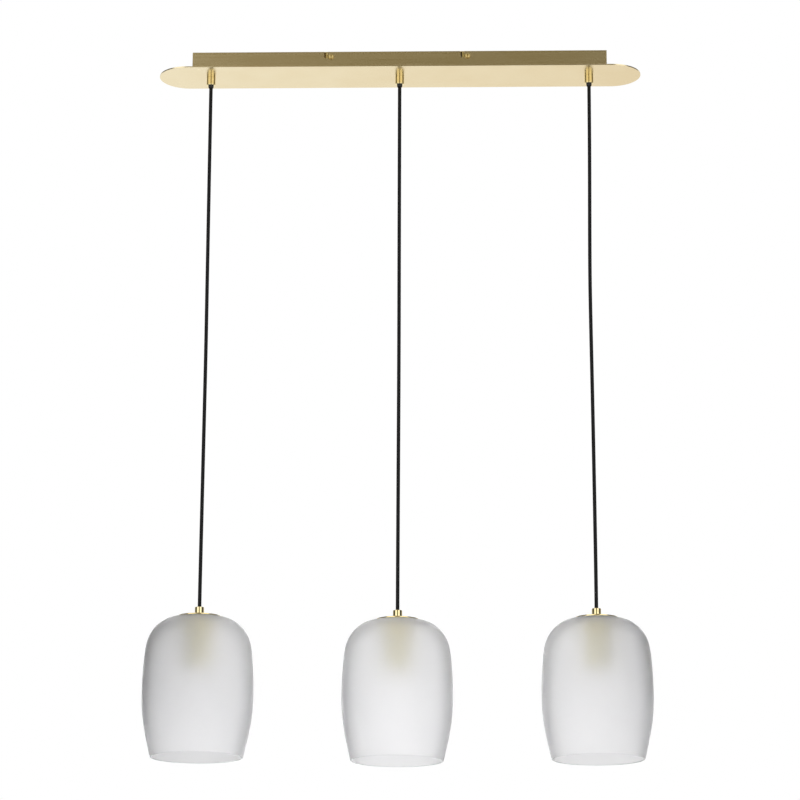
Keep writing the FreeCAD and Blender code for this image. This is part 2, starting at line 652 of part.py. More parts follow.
def lamp_pieces(side_name, x):
    """Everything that hangs on the cord's clamp. Heights here are from the lower grip's top."""
    z = f"({GRIP_MOUTH} - Sizes.cord_drop_{side_name})"
    glass_top = f"({CAP_FACE} - Sizes.gasket_thick)"
    outer, chamfer = f"({NIPPLE} + Sizes.collar_wall)", "Sizes.collar_chamfer"
    collar = [
        (f"{CORD} + Sizes.swing_gap", "0"),
        (f"{CORD} + Sizes.swing_gap", LAMP_THREAD),
        (NIPPLE, LAMP_THREAD),
        (NIPPLE, CAP_TOP),
        (outer, CAP_TOP),
        (outer, f"-{chamfer}"),
        (f"{outer} - {chamfer}", "0"),
    ]
    turned(f"lower_grip_{side_name}", collar, x, z)
    stud = f"{NIPPLE} - Sizes.thread_gap"
    ring(f"lamp_nipple_{side_name}", BORE, stud, NIPPLE_END, LAMP_THREAD, x, z)
    ring(f"shade_cap_{side_name}", NIPPLE, CAP, CAP_FACE, CAP_TOP, x, z)
    gasket_inner = f"{GLASS_HOLE} + Sizes.gasket_reach"
    gasket_outer = f"{CAP} - Sizes.gasket_inset"
    ring(f"cap_gasket_{side_name}", gasket_inner, gasket_outer, glass_top, CAP_FACE, x, z)
    glass_shade(side_name, x, f"{z} + {glass_top}")

    shelf = f"({CAP_FACE} - Sizes.holder_top)"
    shell = [
        (NIPPLE, CAP_FACE),
        (NIPPLE, shelf),
        (HOLDER_BORE, shelf),
        (HOLDER_BORE, HOLDER_FOOT),
        (HOLDER, HOLDER_FOOT),
        (HOLDER, CAP_FACE),
    ]
    turned(f"holder_shell_{side_name}", shell, x, z)
    ring_top = f"({glass_top} - Sizes.glass_wall - Sizes.ring_gap)"
    ring_low = f"{ring_top} - Sizes.ring_height"
    ring_inner, ring_outer = f"{HOLDER} + Sizes.thread_gap", f"{HOLDER} + Sizes.ring_width"
    ring(f"shade_ring_{side_name}", ring_inner, ring_outer, ring_low, ring_top, x, z)

    insert_outer = f"({SHELL} + Sizes.insert_wall)"
    insert = [
        ("0", INSERT_TOP),
        ("0", SOCKET_FLOOR),
        (SHELL, SOCKET_FLOOR),
        (SHELL, INSERT_END),
        (insert_outer, INSERT_END),
        (insert_outer, INSERT_TOP),
    ]
    turned(f"holder_insert_{side_name}", insert, x, z)
    shell_outer = f"({SHELL} - Sizes.thread_gap)"
    ring(f"lamp_shell_{side_name}", "Sizes.shell_bore / 2", shell_outer, SHELL_END, SHELL_TOP, x, z)
    contact = "Sizes.contact_diameter / 2"
    corners = [("0", SHELL_TOP), (contact, SHELL_TOP), (contact, SOCKET_FLOOR), ("0", SOCKET_FLOOR)]
    turned(f"centre_contact_{side_name}", corners, x, z)


def glass_shade(side_name, x, z):
    """Blown shade: a shoulder that curves into a barrel, widest below its middle, with an open rim.
    The outer line is one smooth curve through the sizes, and the inner line is a wall inside it."""
    wall, height = worth("Sizes.glass_wall"), worth("Sizes.glass_height")
    waist, waist_height = worth("Sizes.glass_waist") / 2, worth("Sizes.glass_waist_height")
    rim, hole = worth("Sizes.glass_rim") / 2, worth(GLASS_HOLE)
    cap, shoulder_drop = worth(CAP), worth("Sizes.glass_shoulder_height")
    # Each point is a radius and a height above the rim.
    upper = height - waist_height
    line = [
        (rim, 0),
        (rim + 0.79 * (waist - rim), waist_height * 0.52),
        (waist, waist_height),
        (waist - 0.029 * waist, waist_height + upper * 0.43),
        (waist - 0.095 * waist, height - 1.54 * shoulder_drop),
        (waist - 0.305 * waist, height - 0.425 * shoulder_drop),
        (cap, height),
    ]

    def curve(points):
        places = [FreeCAD.Vector(radius, 0, up - height) for radius, up in points]
        spline = Part.BSplineCurve()
        spline.interpolate(places, InitialTangent=places[1] - places[0], FinalTangent=FreeCAD.Vector(-1, 0, 0))
        return spline

    outer = curve(line)
    inner_points = [(rim - wall, 0)]
    steps = 12
    for step in range(1, steps + 1):
        along = outer.FirstParameter + (outer.LastParameter - outer.FirstParameter) * step / steps
        place, heading = outer.value(along), outer.tangent(along)[0]
        inner_points.append((place.x - wall * heading.z, place.z + height + wall * heading.x))
    inner = curve(inner_points)
    top = FreeCAD.Vector(hole, 0, 0)
    under = FreeCAD.Vector(hole, 0, -wall)
    edges = [
        outer.toShape(),
        Part.LineSegment(outer.EndPoint, top).toShape(),
        Part.LineSegment(top, under).toShape(),
        Part.LineSegment(under, inner.EndPoint).toShape(),
        inner.toShape(),
        Part.LineSegment(inner.StartPoint, outer.StartPoint).toShape(),
    ]
    section = Part.Face(Part.Wire(Part.__sortEdges__(edges)))
    item = doc.addObject("Part::Feature", f"glass_shade_{side_name}_blown")
    item.Shape = section.revolve(FreeCAD.Vector(0, 0, 0), FreeCAD.Vector(0, 0, 1), 360)
    keep(item, f"glass_shade_{side_name}", x, z)


mounting_bracket()
bracket_screws()
canopy_box()
face_plate()
nipple_fasteners()
terminal_block()
earth_fasteners()
canopy_leads()
for side_name, side in PENDANTS.items():
    x = f"{side} * Sizes.pendant_pitch" if side else "0"
    grip_sleeve(side_name, x)
    grip_nipple(side_name, x)
    swivel_bush(side_name, x)
    cord_pieces(side_name, x)
    lamp_pieces(side_name, x)
doc.recompute()

failed = [item.Name for item in doc.Objects if {"Invalid", "Error"} & set(item.State)]
if failed:
    raise RuntimeError(f"these objects failed: {failed}")
for item in parts:
    if item.Shape.isNull() or not item.Shape.isValid() or not item.Shape.Solids:
        raise RuntimeError(f"{item.Label} has no valid solid")

os.makedirs("parts", exist_ok=True)
for item in parts:
    item.Shape.exportStep(f"parts/{item.Label}.step")
print(f"{len(parts)} sub-parts, {sum(len(item.Shape.Solids) for item in parts)} solids")
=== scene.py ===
# Linear island pendant: three etched glass shades on black cords under one long brass canopy.
import json
import math
import bpy
import bmesh
import numpy
from mathutils import Matrix, Vector
from mathutils.geometry import interpolate_bezier

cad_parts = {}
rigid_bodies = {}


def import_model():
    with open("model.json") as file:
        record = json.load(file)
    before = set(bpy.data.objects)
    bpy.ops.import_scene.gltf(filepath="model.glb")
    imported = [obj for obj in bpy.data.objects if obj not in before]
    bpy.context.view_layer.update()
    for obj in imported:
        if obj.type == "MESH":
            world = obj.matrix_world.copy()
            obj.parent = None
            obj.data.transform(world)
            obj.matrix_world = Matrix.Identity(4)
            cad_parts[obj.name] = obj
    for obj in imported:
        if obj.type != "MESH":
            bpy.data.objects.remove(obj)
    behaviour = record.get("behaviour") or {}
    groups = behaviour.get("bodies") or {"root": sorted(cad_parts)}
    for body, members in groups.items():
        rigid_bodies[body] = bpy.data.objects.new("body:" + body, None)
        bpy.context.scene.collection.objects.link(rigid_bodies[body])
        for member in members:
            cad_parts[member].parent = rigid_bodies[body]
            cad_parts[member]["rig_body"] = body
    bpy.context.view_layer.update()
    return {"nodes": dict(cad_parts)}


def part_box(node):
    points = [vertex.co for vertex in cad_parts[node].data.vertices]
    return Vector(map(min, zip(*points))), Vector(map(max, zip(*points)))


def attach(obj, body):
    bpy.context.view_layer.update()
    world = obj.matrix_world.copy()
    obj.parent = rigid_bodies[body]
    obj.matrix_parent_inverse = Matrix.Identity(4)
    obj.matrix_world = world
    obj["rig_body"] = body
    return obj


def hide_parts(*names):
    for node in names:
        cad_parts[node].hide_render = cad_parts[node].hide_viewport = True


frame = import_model()
mm = 0.001  # every size below is in millimetres unless a note says metres
sides = {"left": -320.0, "middle": 0.0, "right": 320.0}
maths, ranged, mixed = "ShaderNodeMath", "ShaderNodeMapRange", "ShaderNodeMixRGB"
print("frame loaded:", len(frame["nodes"]), "nodes")


def colour(hexText):
    parts = [int(hexText[i:i + 2], 16) / 255 for i in (1, 3, 5)]
    return [c / 12.92 if c <= 0.04045 else ((c + 0.055) / 1.055) ** 2.4 for c in parts] + [1.0]


def addNode(tree, kind, feeds=None, **settings):
    # a feed is a plain value, an output, or a node whose first output is meant
    node = tree.nodes.new(kind)
    for name, value in settings.items():
        setattr(node, name, value)
    for name, value in (feeds or {}).items():
        if isinstance(value, bpy.types.Node):
            value = value.outputs[0]
        if isinstance(value, bpy.types.NodeSocket):
            tree.links.new(value, node.inputs[name])
        else:
            node.inputs[name].default_value = value
    return node


# Materials, each one made from what the real one is
noiseSpan = (0.3, 0.7)  # noise seldom goes past these


def startMaterial(name, **constants):
    material = bpy.data.materials.new(name)
    material.use_nodes = True
    tree = material.node_tree
    shader = tree.nodes["Principled BSDF"]
    for socket, value in constants.items():
        shader.inputs[socket.replace("_", " ")].default_value = value
    return material, tree, shader


def grainOn(tree, size, detail, along=(1, 1, 1)):
    # noise with grains of this size in millimetres, so many times longer along each axis
    place = addNode(tree, "ShaderNodeTexCoord").outputs["Object"]
    scale = [1000 / (size * stretch) for stretch in along]
    mapped = addNode(tree, "ShaderNodeMapping", {"Vector": place, "Scale": scale})
    return addNode(tree, "ShaderNodeTexNoise", {"Vector": mapped, "Scale": 1.0, "Detail": detail})


def surfaced(name, grains, tint=None, rough=None, rise=None, **constants):
    # tint, rough and rise each start with the grain that they follow, and rise is in millimetres
    material, tree, shader = startMaterial(name, **constants)
    made = {label: grainOn(tree, *grain) for label, grain in grains.items()}
    if tint:
        label, one, two, *span = tint
        start, end = span or noiseSpan
        share = addNode(tree, ranged, {"Value": made[label], "From Min": start, "From Max": end})
        both = addNode(tree, mixed, {"Fac": share, "Color1": colour(one), "Color2": colour(two)})
        tree.links.new(both.outputs[0], shader.inputs["Base Color"])
    if rough:
        label, low, high = rough
        feeds = {"Value": made[label], "From Min": noiseSpan[0], "From Max": noiseSpan[1]}
        level = addNode(tree, ranged, {**feeds, "To Min": low, "To Max": high})
        tree.links.new(level.outputs[0], shader.inputs["Roughness"])
    if rise:
        label, height = rise
        feeds = {"Height": made[label], "Strength": 1.0, "Distance": height * mm}
        bump = addNode(tree, "ShaderNodeBump", feeds)
        tree.links.new(bump.outputs[0], shader.inputs["Normal"])
    return material


# Brass sheet brushed along its length and lacquered: a pale warm mirror with its highlights drawn out and
# blurred. Real brush lines are 0.1 mm, too fine to show, so the streaks are coarser.
brassSheet = surfaced(
    "brushedLacqueredBrass", {"clouds": (70, 2.0), "streaks": (1.2, 4.0, (90, 1, 1))},
    tint=("clouds", "#EBDCB5", "#E7D6AC"), rough=("streaks", 0.21, 0.25), rise=("streaks", 0.0002),
    Metallic=1.0)

# Brass turned on a lathe, buffed and lacquered: sharp bright and dark bands, with a trace of buffing round
# the axis.
turnedBrass = surfaced(
    "buffedTurnedBrass", {"smears": (3.0, 3.0, (4, 4, 0.4))},
    tint=("smears", "#F4E6B8", "#EDDAA2"), rough=("smears", 0.05, 0.13), Metallic=1.0)

# Bare machined brass of screws and contacts: duller and browner than the lacquered parts.
plainBrass = surfaced(
    "bareMachinedBrass", {"patches": (1.8, 4.0)},
    tint=("patches", "#CDB678", "#A8905A", 0.45, 0.75), rough=("patches", 0.22, 0.4), Metallic=1.0)

# Brass drawn into a tube and only tumbled: a pale satin, which the glass blurs.
drawnBrass = surfaced(
    "tumbledDrawnBrass", {"clouds": (12.0, 3.0), "lines": (0.9, 3.0, (1, 1, 20))},
    tint=("clouds", "#DAD3A0", "#CAC190"), rough=("lines", 0.5, 0.62), Metallic=1.0)


# Pressed steel with a zinc plating, cloudy and faintly rainbowed: cool grey when clear, straw brown when
# yellow passivated.
def zincPlated(name, bright, tinged):
    return surfaced(
        name, {"clouds": (9.0, 3.0), "grit": (0.8, 2.0)},
        tint=("clouds", bright, tinged), rough=("clouds", 0.28, 0.45), rise=("grit", 0.01), Metallic=1.0)


zincSteel = zincPlated("zincPlatedSteel", "#C9CCD0", "#CFCBBE")
yellowZinc = zincPlated("yellowPassivatedZinc", "#D6C384", "#BFA45F")

# Thin steel rolled into a lamp thread and nickel plated: warm silver, fairly sharp.
nickelShell = surfaced(
    "nickelPlatedShell", {"clouds": (4.0, 3.0)},
    tint=("clouds", "#D8D4C8", "#BDB8AC"), rough=("clouds", 0.12, 0.28), Metallic=1.0)

# Blown soda glass, dipped in acid inside and out: milky satin that blurs what is behind it and has no sharp
# highlight. Real etching is finer than 0.05 mm. Soda glass has an IOR of 1.5, but two rough walls of it
# would swallow too much light.
etchedGlass = surfaced(
    "acidEtchedGlass", {"clouds": (60, 2.0), "etch": (1.2, 2.0)},
    tint=("clouds", "#FEFEFF", "#FBFBFC"), rough=("etch", 0.82, 0.88), rise=("etch", 0.002),
    IOR=1.2, Transmission_Weight=0.8)

# The shade's foot, ground flat and fire polished after the acid: clear glass, so the rim shows as a thin
# darker line.
rimGlass = surfaced(
    "polishedGlassRim", {"waves": (14, 2.0)},
    rough=("waves", 0.05, 0.16), Base_Color=colour("#D9DEDC"), IOR=1.5, Transmission_Weight=1.0)

# Porcelain with a thin clear glaze: off-white body under a sharp gloss.
porcelain = surfaced(
    "glazedPorcelain", {"clouds": (7.0, 3.0), "ripple": (3.0, 1.0)},
    tint=("clouds", "#EFEBE0", "#E6E0D2"), rise=("ripple", 0.02),
    IOR=1.5, Roughness=0.35, Coat_Weight=0.7, Coat_Roughness=0.06)

# Black polyamide of the swivel bushes and clamps: dark, with the dull sheen of a spark-eroded tool.
blackPlastic = surfaced(
    "mouldedBlackPolyamide", {"clouds": (6, 2.0), "skin": (0.7, 2.0)},
    tint=("clouds", "#19191A", "#121213"), rough=("skin", 0.42, 0.58), rise=("skin", 0.015), IOR=1.53)

# Black flexible PVC sheath: smooth, faintly glossy, with slight drawn lines along the cord.
cordSheath = surfaced(
    "extrudedBlackPvc", {"clouds": (8, 2.0, (1, 1, 30)), "skin": (2.4, 2.0, (1, 1, 30))},
    tint=("clouds", "#0E0E0F", "#0B0B0C"), rough=("skin", 0.43, 0.46), rise=("skin", 0.0005), IOR=1.3)

# White PVC of the inner leads: even, with a soft sheen.
leadSheath = surfaced(
    "extrudedWhitePvc", {"clouds": (6, 2.0), "skin": (0.8, 2.0)},
    tint=("clouds", "#E9E8E2", "#DEDCD3"), rough=("skin", 0.36, 0.5), rise=("skin", 0.01), IOR=1.53)

# White glass-filled polyamide of the terminal block: chalky, with a fine skin from the tool.
whitePlastic = surfaced(
    "mouldedWhitePolyamide", {"clouds": (5, 2.0), "skin": (0.6, 2.0)},
    tint=("clouds", "#ECEBE6", "#E2E0D9"), rough=("skin", 0.4, 0.55), rise=("skin", 0.015), IOR=1.53)

# Milky silicone of the gaskets: matt and slightly soft.
siliconeRubber = surfaced(
    "mouldedSilicone", {"clouds": (5, 2.0), "skin": (1.0, 2.0)},
    tint=("clouds", "#E4E3DE", "#D8D7D0"), rough=("skin", 0.5, 0.65), rise=("skin", 0.01), IOR=1.43)
print("materials:", len(bpy.data.materials))

# Shared mesh making

# points closer than "weld" or "seam" become one, and the rest are angles in degrees between two faces
making = {"weld": 0.002, "seam": 0.001, "flat": 0.6, "bevelled": 32, "cutSharp": 35, "pressedSharp": 25}


def placed(name, mesh, body, node):
    piece = bpy.data.objects.new(name, mesh)
    bpy.context.scene.collection.objects.link(piece)
    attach(piece, body)
    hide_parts(node)
    return piece


def softEdges(piece, width, segments, angle=making["bevelled"]):
    bevel = piece.modifiers.new("softEdges", "BEVEL")
    bevel.width, bevel.segments = width * mm, segments
    bevel.limit_method, bevel.angle_limit = "ANGLE", math.radians(angle)
    bevel.harden_normals = True
    return piece


def lathe(name, outline, segments):
    # the outline runs once round the section, as radius and height; a radius of 0 is a pole, and both may
    # be a rule of the angle
    work = bmesh.new()
    rings = []
    for radius, height in outline:
        if radius == 0:
            rings.append([work.verts.new((0, 0, height * mm))])
            continue
        ring = []
        for i in range(segments):
            angle = 2 * math.pi * i / segments
            far = radius(angle) if callable(radius) else radius
            up = height(angle) if callable(height) else height
            ring.append(work.verts.new((far * mm * math.cos(angle), far * mm * math.sin(angle), up * mm)))
        rings.append(ring)
    for one, two in zip(rings, rings[1:] + rings[:1]):
        for i in range(segments):
            after = (i + 1) % segments
            corners = (one[i % len(one)], one[after % len(one)], two[after % len(two)], two[i % len(two)])
            corners = list(dict.fromkeys(corners))
            if len(corners) > 2:
                work.faces.new(corners)
    bmesh.ops.recalc_face_normals(work, faces=work.faces)
    mesh = bpy.data.meshes.new(name)
    work.to_mesh(mesh)
    work.free()
    mesh.shade_smooth()
    return mesh


def cutBlank(name, outline, segments, cutter, crossing):
    # a turned blank with the cutter's shape taken out; crossing says that the cutter cuts into itself
    cutterMesh = bpy.data.meshes.new(name + "Cutter")
    cutter.to_mesh(cutterMesh)
    cutter.free()
    blank = bpy.data.objects.new(name, lathe(name, outline, segments))
    tool = bpy.data.objects.new(name + "Cutter", cutterMesh)
    for item in (blank, tool):
        bpy.context.scene.collection.objects.link(item)
    cut = blank.modifiers.new("cut", "BOOLEAN")
    cut.object, cut.operation, cut.use_self = tool, "DIFFERENCE", crossing
    graph = bpy.context.evaluated_depsgraph_get()
    mesh = bpy.data.meshes.new_from_object(blank.evaluated_get(graph), depsgraph=graph)
    for item in (blank, tool):
        bpy.data.objects.remove(item)
    mesh.shade_smooth()
    mesh.set_sharp_from_angle(angle=math.radians(making["cutSharp"]))
    return mesh


def fromCad(node):
    # a merged copy of a node's loose triangles, with its flat faces made whole again
    source = frame["nodes"][node].data
    work = bmesh.new()
    found = [work.verts.new(v.co) for v in source.vertices]
    for polygon in source.polygons:
        work.faces.new([found[i] for i in polygon.vertices])
    bmesh.ops.remove_doubles(work, verts=work.verts, dist=making["weld"] * mm)
    flat = math.radians(making["flat"])
    bmesh.ops.dissolve_limit(work, angle_limit=flat, verts=work.verts, edges=work.edges)
    mesh = bpy.data.meshes.new(node)
    work.to_mesh(mesh)
    work.free()
    mesh.shade_smooth()
    return mesh


def softened(name, node, material, slotName, width, segments):
    mesh = fromCad(node)
    mesh.materials.append(material)
    body = frame["nodes"][node]["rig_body"]
    return softEdges(placed(name, mesh, body, node), width, segments)


# Geometry node trees
floatKind, wholeKind, materialKind = "NodeSocketFloat", "NodeSocketInt", "NodeSocketMaterial"


def newTree(name, inputs):
    tree = bpy.data.node_groups.new(name, "GeometryNodeTree")
    tree.interface.new_socket("Geometry", in_out="INPUT", socket_type="NodeSocketGeometry")
    tree.interface.new_socket("Geometry", in_out="OUTPUT", socket_type="NodeSocketGeometry")
    for label, kind in inputs.items():
        tree.interface.new_socket(label, in_out="INPUT", socket_type=kind)
    return tree, addNode(tree, "NodeGroupInput").outputs, addNode(tree, "NodeGroupOutput")


def grown(name, tree, values, base=None):
    # runs a tree on a base mesh and returns the result as a plain mesh
    seed = bpy.data.objects.new(name, base or bpy.data.meshes.new(name))
    bpy.context.scene.collection.objects.link(seed)
    modifier = seed.modifiers.new("tree", "NODES")
    modifier.node_group = tree
    named = {item.name: item.identifier for item in tree.interface.items_tree if item.in_out == "INPUT"}
    for label, value in values.items():
        modifier[named[label]] = value
    seed.update_tag()
    graph = bpy.context.evaluated_depsgraph_get()
    graph.update()
    mesh = bpy.data.meshes.new_from_object(seed.evaluated_get(graph), depsgraph=graph)
    mesh.name = name
    bpy.data.objects.remove(seed)
    return mesh


def turnedGrid(tree, given):
    # a grid whose columns go round the axis: returns it, the angle and the share from 0 to 1 up the section
    columns = addNode(tree, maths, {0: given["Segments"], 1: 1.0}, operation="ADD")
    feeds = {"Size X": 1.0, "Size Y": 1.0, "Vertices X": columns, "Vertices Y": given["Rows"]}
    grid = addNode(tree, "GeometryNodeMeshGrid", feeds)
    place = addNode(tree, "ShaderNodeSeparateXYZ", {"Vector": addNode(tree, "GeometryNodeInputPosition")})
    turn, share = (addNode(tree, maths, {0: place.outputs[axis], 1: 0.5}, operation="ADD") for axis in "XY")
    angle = addNode(tree, maths, {0: turn, 1: 2 * math.pi}, operation="MULTIPLY")
    return grid, angle, share


def wrapped(tree, mesh, angle, radius, height, material, output):
    # bends the grid into a round shape, closes its seam and paints it
    turns = [addNode(tree, maths, {0: angle}, operation=rule) for rule in ("COSINE", "SINE")]
    across, deep = (addNode(tree, maths, {0: radius, 1: turn}, operation="MULTIPLY") for turn in turns)
    target = addNode(tree, "ShaderNodeCombineXYZ", {"X": across, "Y": deep, "Z": height})
    moved = addNode(tree, "GeometryNodeSetPosition", {"Geometry": mesh, "Position": target})
    feeds = {"Geometry": moved, "Distance": making["seam"] * mm}
    closed = addNode(tree, "GeometryNodeMergeByDistance", feeds)
    smooth = addNode(tree, "GeometryNodeSetShadeSmooth", {"Geometry": closed})
    real = addNode(tree, "GeometryNodeRealizeInstances", {"Geometry": smooth})
    painted = addNode(tree, "GeometryNodeSetMaterial", {"Geometry": real, "Material": material})
    tree.links.new(painted.outputs[0], output.inputs[0])


# The blown shade: its outside runs smoothly from the rim through each place in "line", given as radius and
# height above the rim, and is level where it meets the cap.
shadeForm = {
    "line": ((74.25, 0), (86.1, 57.2), (89.25, 110), (86.66, 159.665), (80.77, 191.62), (62.03, 216.15),
             (35, 225.5)),
    "waist": 89.25, "height": 225.5, "wall": 3.0, "hole": 21.0, "segments": 144, "rows": 121,
    "curvePoints": 17, "fineSteps": 200, "rimRound": 1.1, "rimSteps": 4, "rimAngle": 50, "topAbove": 200,
}


def shadeSection():
    # cubic curves that share their slope and bend at each place; returns the radii and the heights at even
    # steps along them
    places = numpy.array(shadeForm["line"])
    gaps = numpy.linalg.norm(numpy.diff(places, axis=0), axis=1)
    bends, slopes = numpy.eye(len(places)), numpy.zeros(places.shape)
    slopes[0], slopes[-1] = (places[1] - places[0]) / gaps[0], (-1, 0)
    for i in range(1, len(places) - 1):
        before, after = gaps[i - 1], gaps[i]
        bends[i, i - 1:i + 2] = 1 / before, 2 / before + 2 / after, 1 / after
        rises = (places[i] - places[i - 1]) / before ** 2, (places[i + 1] - places[i]) / after ** 2
        slopes[i] = 3 * (rises[0] + rises[1])
    slopes = numpy.linalg.solve(bends, slopes)
    fine = []
    for i, gap in enumerate(gaps):
        handles = places[i] + slopes[i] * gap / 3, places[i + 1] - slopes[i + 1] * gap / 3
        fine += interpolate_bezier(places[i], *handles, places[i + 1], shadeForm["fineSteps"])
    fine = numpy.array(fine)
    walked = numpy.append(0, numpy.cumsum(numpy.linalg.norm(numpy.diff(fine, axis=0), axis=1)))
    even = numpy.linspace(0, walked[-1], shadeForm["curvePoints"])
    return [numpy.interp(even, walked, fine[:, axis]) for axis in (0, 1)]


def sectionCurve(tree, share, values, most):
    # the share along the section gives the value there, as a share of the greatest one
    node = addNode(tree, "ShaderNodeFloatCurve", {"Value": share, "Factor": 1.0})
    curve = node.mapping.curves[0]
    last = len(values) - 1
    points = [(i / last, value / most) for i, value in enumerate(values)]
    curve.points[0].location, curve.points[1].location = points[0], points[-1]
    for x, y in points[1:-1]:
        curve.points.new(x, y)
    node.mapping.update()
    return node


def blownShadeTree():
    kinds = {"Waist": floatKind, "Height": floatKind, "Segments": wholeKind, "Rows": wholeKind}
    tree, given, output = newTree("blownShade", {**kinds, "Glass": materialKind})
    mesh, angle, share = turnedGrid(tree, given)
    radii, heights = shadeSection()
    wide = sectionCurve(tree, share, radii, shadeForm["waist"])
    high = sectionCurve(tree, share, heights, shadeForm["height"])
    radius = addNode(tree, maths, {0: wide, 1: given["Waist"]}, operation="MULTIPLY")
    height = addNode(tree, maths, {0: high, 1: given["Height"]}, operation="MULTIPLY")
    wrapped(tree, mesh, angle, radius, height, given["Glass"], output)
    return tree


# A rolled or cut thread: a tube wall whose radius falls and rises once in each pitch, and winds round as it
# goes up.
def threadTree():
    kinds = {label: floatKind for label in ("Radius", "Depth", "Pitch", "Length")}
    kinds.update({"Segments": wholeKind, "Rows": wholeKind, "Metal": materialKind})
    tree, given, output = newTree("rolledThread", kinds)
    mesh, angle, share = turnedGrid(tree, given)
    height = addNode(tree, maths, {0: share, 1: given["Length"]}, operation="MULTIPLY")
    pitches = addNode(tree, maths, {0: height, 1: given["Pitch"]}, operation="DIVIDE")
    winding = addNode(tree, maths, {0: pitches, 1: 2 * math.pi}, operation="MULTIPLY")
    ahead = addNode(tree, maths, {0: winding, 1: angle}, operation="SUBTRACT")
    wave = addNode(tree, maths, {0: ahead}, operation="COSINE")
    fall = addNode(tree, maths, {0: 1.0, 1: wave}, operation="SUBTRACT")
    half = addNode(tree, maths, {0: given["Depth"], 1: 0.5}, operation="MULTIPLY")
    dip = addNode(tree, maths, {0: fall, 1: half}, operation="MULTIPLY")
    radius = addNode(tree, maths, {0: given["Radius"], 1: dip}, operation="SUBTRACT")
    wrapped(tree, mesh, angle, radius, height, given["Metal"], output)
    return tree


# Fasteners: one blank set on each point, turned as the point's own attribute says.
def fastenerTree():
    tree, given, output = newTree("fastenersOnPoints", {"Blank": "NodeSocketObject", "Metal": materialKind})
    blank = addNode(tree, "GeometryNodeObjectInfo", {"Object": given["Blank"]}).outputs["Geometry"]
    turn = addNode(tree, "GeometryNodeInputNamedAttribute", {"Name": "turn"}, data_type="FLOAT_VECTOR")
    feeds = {"Points": given["Geometry"], "Instance": blank, "Rotation": turn.outputs["Attribute"]}
    copies = addNode(tree, "GeometryNodeInstanceOnPoints", feeds)
    real = addNode(tree, "GeometryNodeRealizeInstances", {"Geometry": copies})
    painted = addNode(tree, "GeometryNodeSetMaterial", {"Geometry": real, "Material": given["Metal"]})
    tree.links.new(painted.outputs[0], output.inputs[0])
    return tree


shadeTree, rolledTree, fastenTree = blownShadeTree(), threadTree(), fastenerTree()


def fastened(name, blankMesh, places, material, body, node):
    base = bpy.data.meshes.new(name)
    base.from_pydata([Vector(place) * mm for place, turn in places], [], [])
    turns = base.attributes.new("turn", "FLOAT_VECTOR", "POINT")
    for i, (place, turn) in enumerate(places):
        turns.data[i].vector = turn
    blank = bpy.data.objects.new(name + "Blank", blankMesh)
    bpy.context.scene.collection.objects.link(blank)
    mesh = grown(name, fastenTree, {"Blank": blank, "Metal": material}, base)
    bpy.data.objects.remove(blank)
    return placed(name, mesh, body, node)


# Camera: the photograph's view, from below and in front

# place, near and distant are in metres, the angles in degrees, focal and picture in pixels
cameraView = {
    "place": (0.1164, -4.3985, -1.7737), "yaw": -1.48, "tilt": 14.44, "roll": 0.22, "shift": 0.03,
    "focal": 2771, "picture": 800, "sensor": 36, "near": 0.1, "distant": 100,
}


def makeCamera():
    yaw, tilt, roll = (math.radians(cameraView[key]) for key in ("yaw", "tilt", "roll"))
    ahead = Vector((math.sin(yaw) * math.cos(tilt), math.cos(yaw) * math.cos(tilt), math.sin(tilt)))
    right = Vector((math.cos(yaw), -math.sin(yaw), 0))
    up = right.cross(ahead)
    right, up = right * math.cos(roll) + up * math.sin(roll), up * math.cos(roll) - right * math.sin(roll)
    lens = bpy.data.cameras.new("photoCamera")
    lens.sensor_width = cameraView["sensor"]
    lens.lens = cameraView["sensor"] * cameraView["focal"] / cameraView["picture"]
    lens.shift_y = cameraView["shift"]
    lens.clip_start, lens.clip_end = cameraView["near"], cameraView["distant"]
    camera = bpy.data.objects.new("photoCamera", lens)
    bpy.context.scene.collection.objects.link(camera)
    turned = Matrix((right, up, -ahead)).transposed().to_4x4()
    camera.matrix_world = Matrix.Translation(cameraView["place"]) @ turned
    bpy.context.scene.camera = camera


makeCamera()

# Cords and leads

# control points in metres; the hanging cords' middle points follow the photograph's slight bows, and the
# leads' routes and lengths are guessed
cordForm = {"thick": 6.0, "leadThick": 3.2, "order": 3, "steps": 16, "roundSteps": 6}
cordLines = {
    "left": [
        (-0.32, 0, -0.0455), (-0.32, 0, -0.0655), (-0.3198, 0, -0.16), (-0.3192, 0, -0.40),
        (-0.3188, 0, -0.52), (-0.3194, 0, -0.70), (-0.32, 0, -0.90), (-0.32, 0, -0.94),
        (-0.32, 0, -0.98155),
    ],
    "middle": [
        (0, 0, -0.0455), (0, 0, -0.0655), (0.0002, 0, -0.30), (0.0006, 0, -0.52), (0.0002, 0, -0.75),
        (0, 0, -0.91), (0, 0, -0.945), (0, 0, -0.98715),
    ],
    "right": [
        (0.32, 0, -0.0455), (0.32, 0, -0.0655), (0.3194, 0, -0.18), (0.3172, 0, -0.36),
        (0.3172, 0, -0.44), (0.3188, 0, -0.62), (0.32, 0, -0.86), (0.32, 0, -0.94), (0.32, 0, -0.98445),
    ],
}
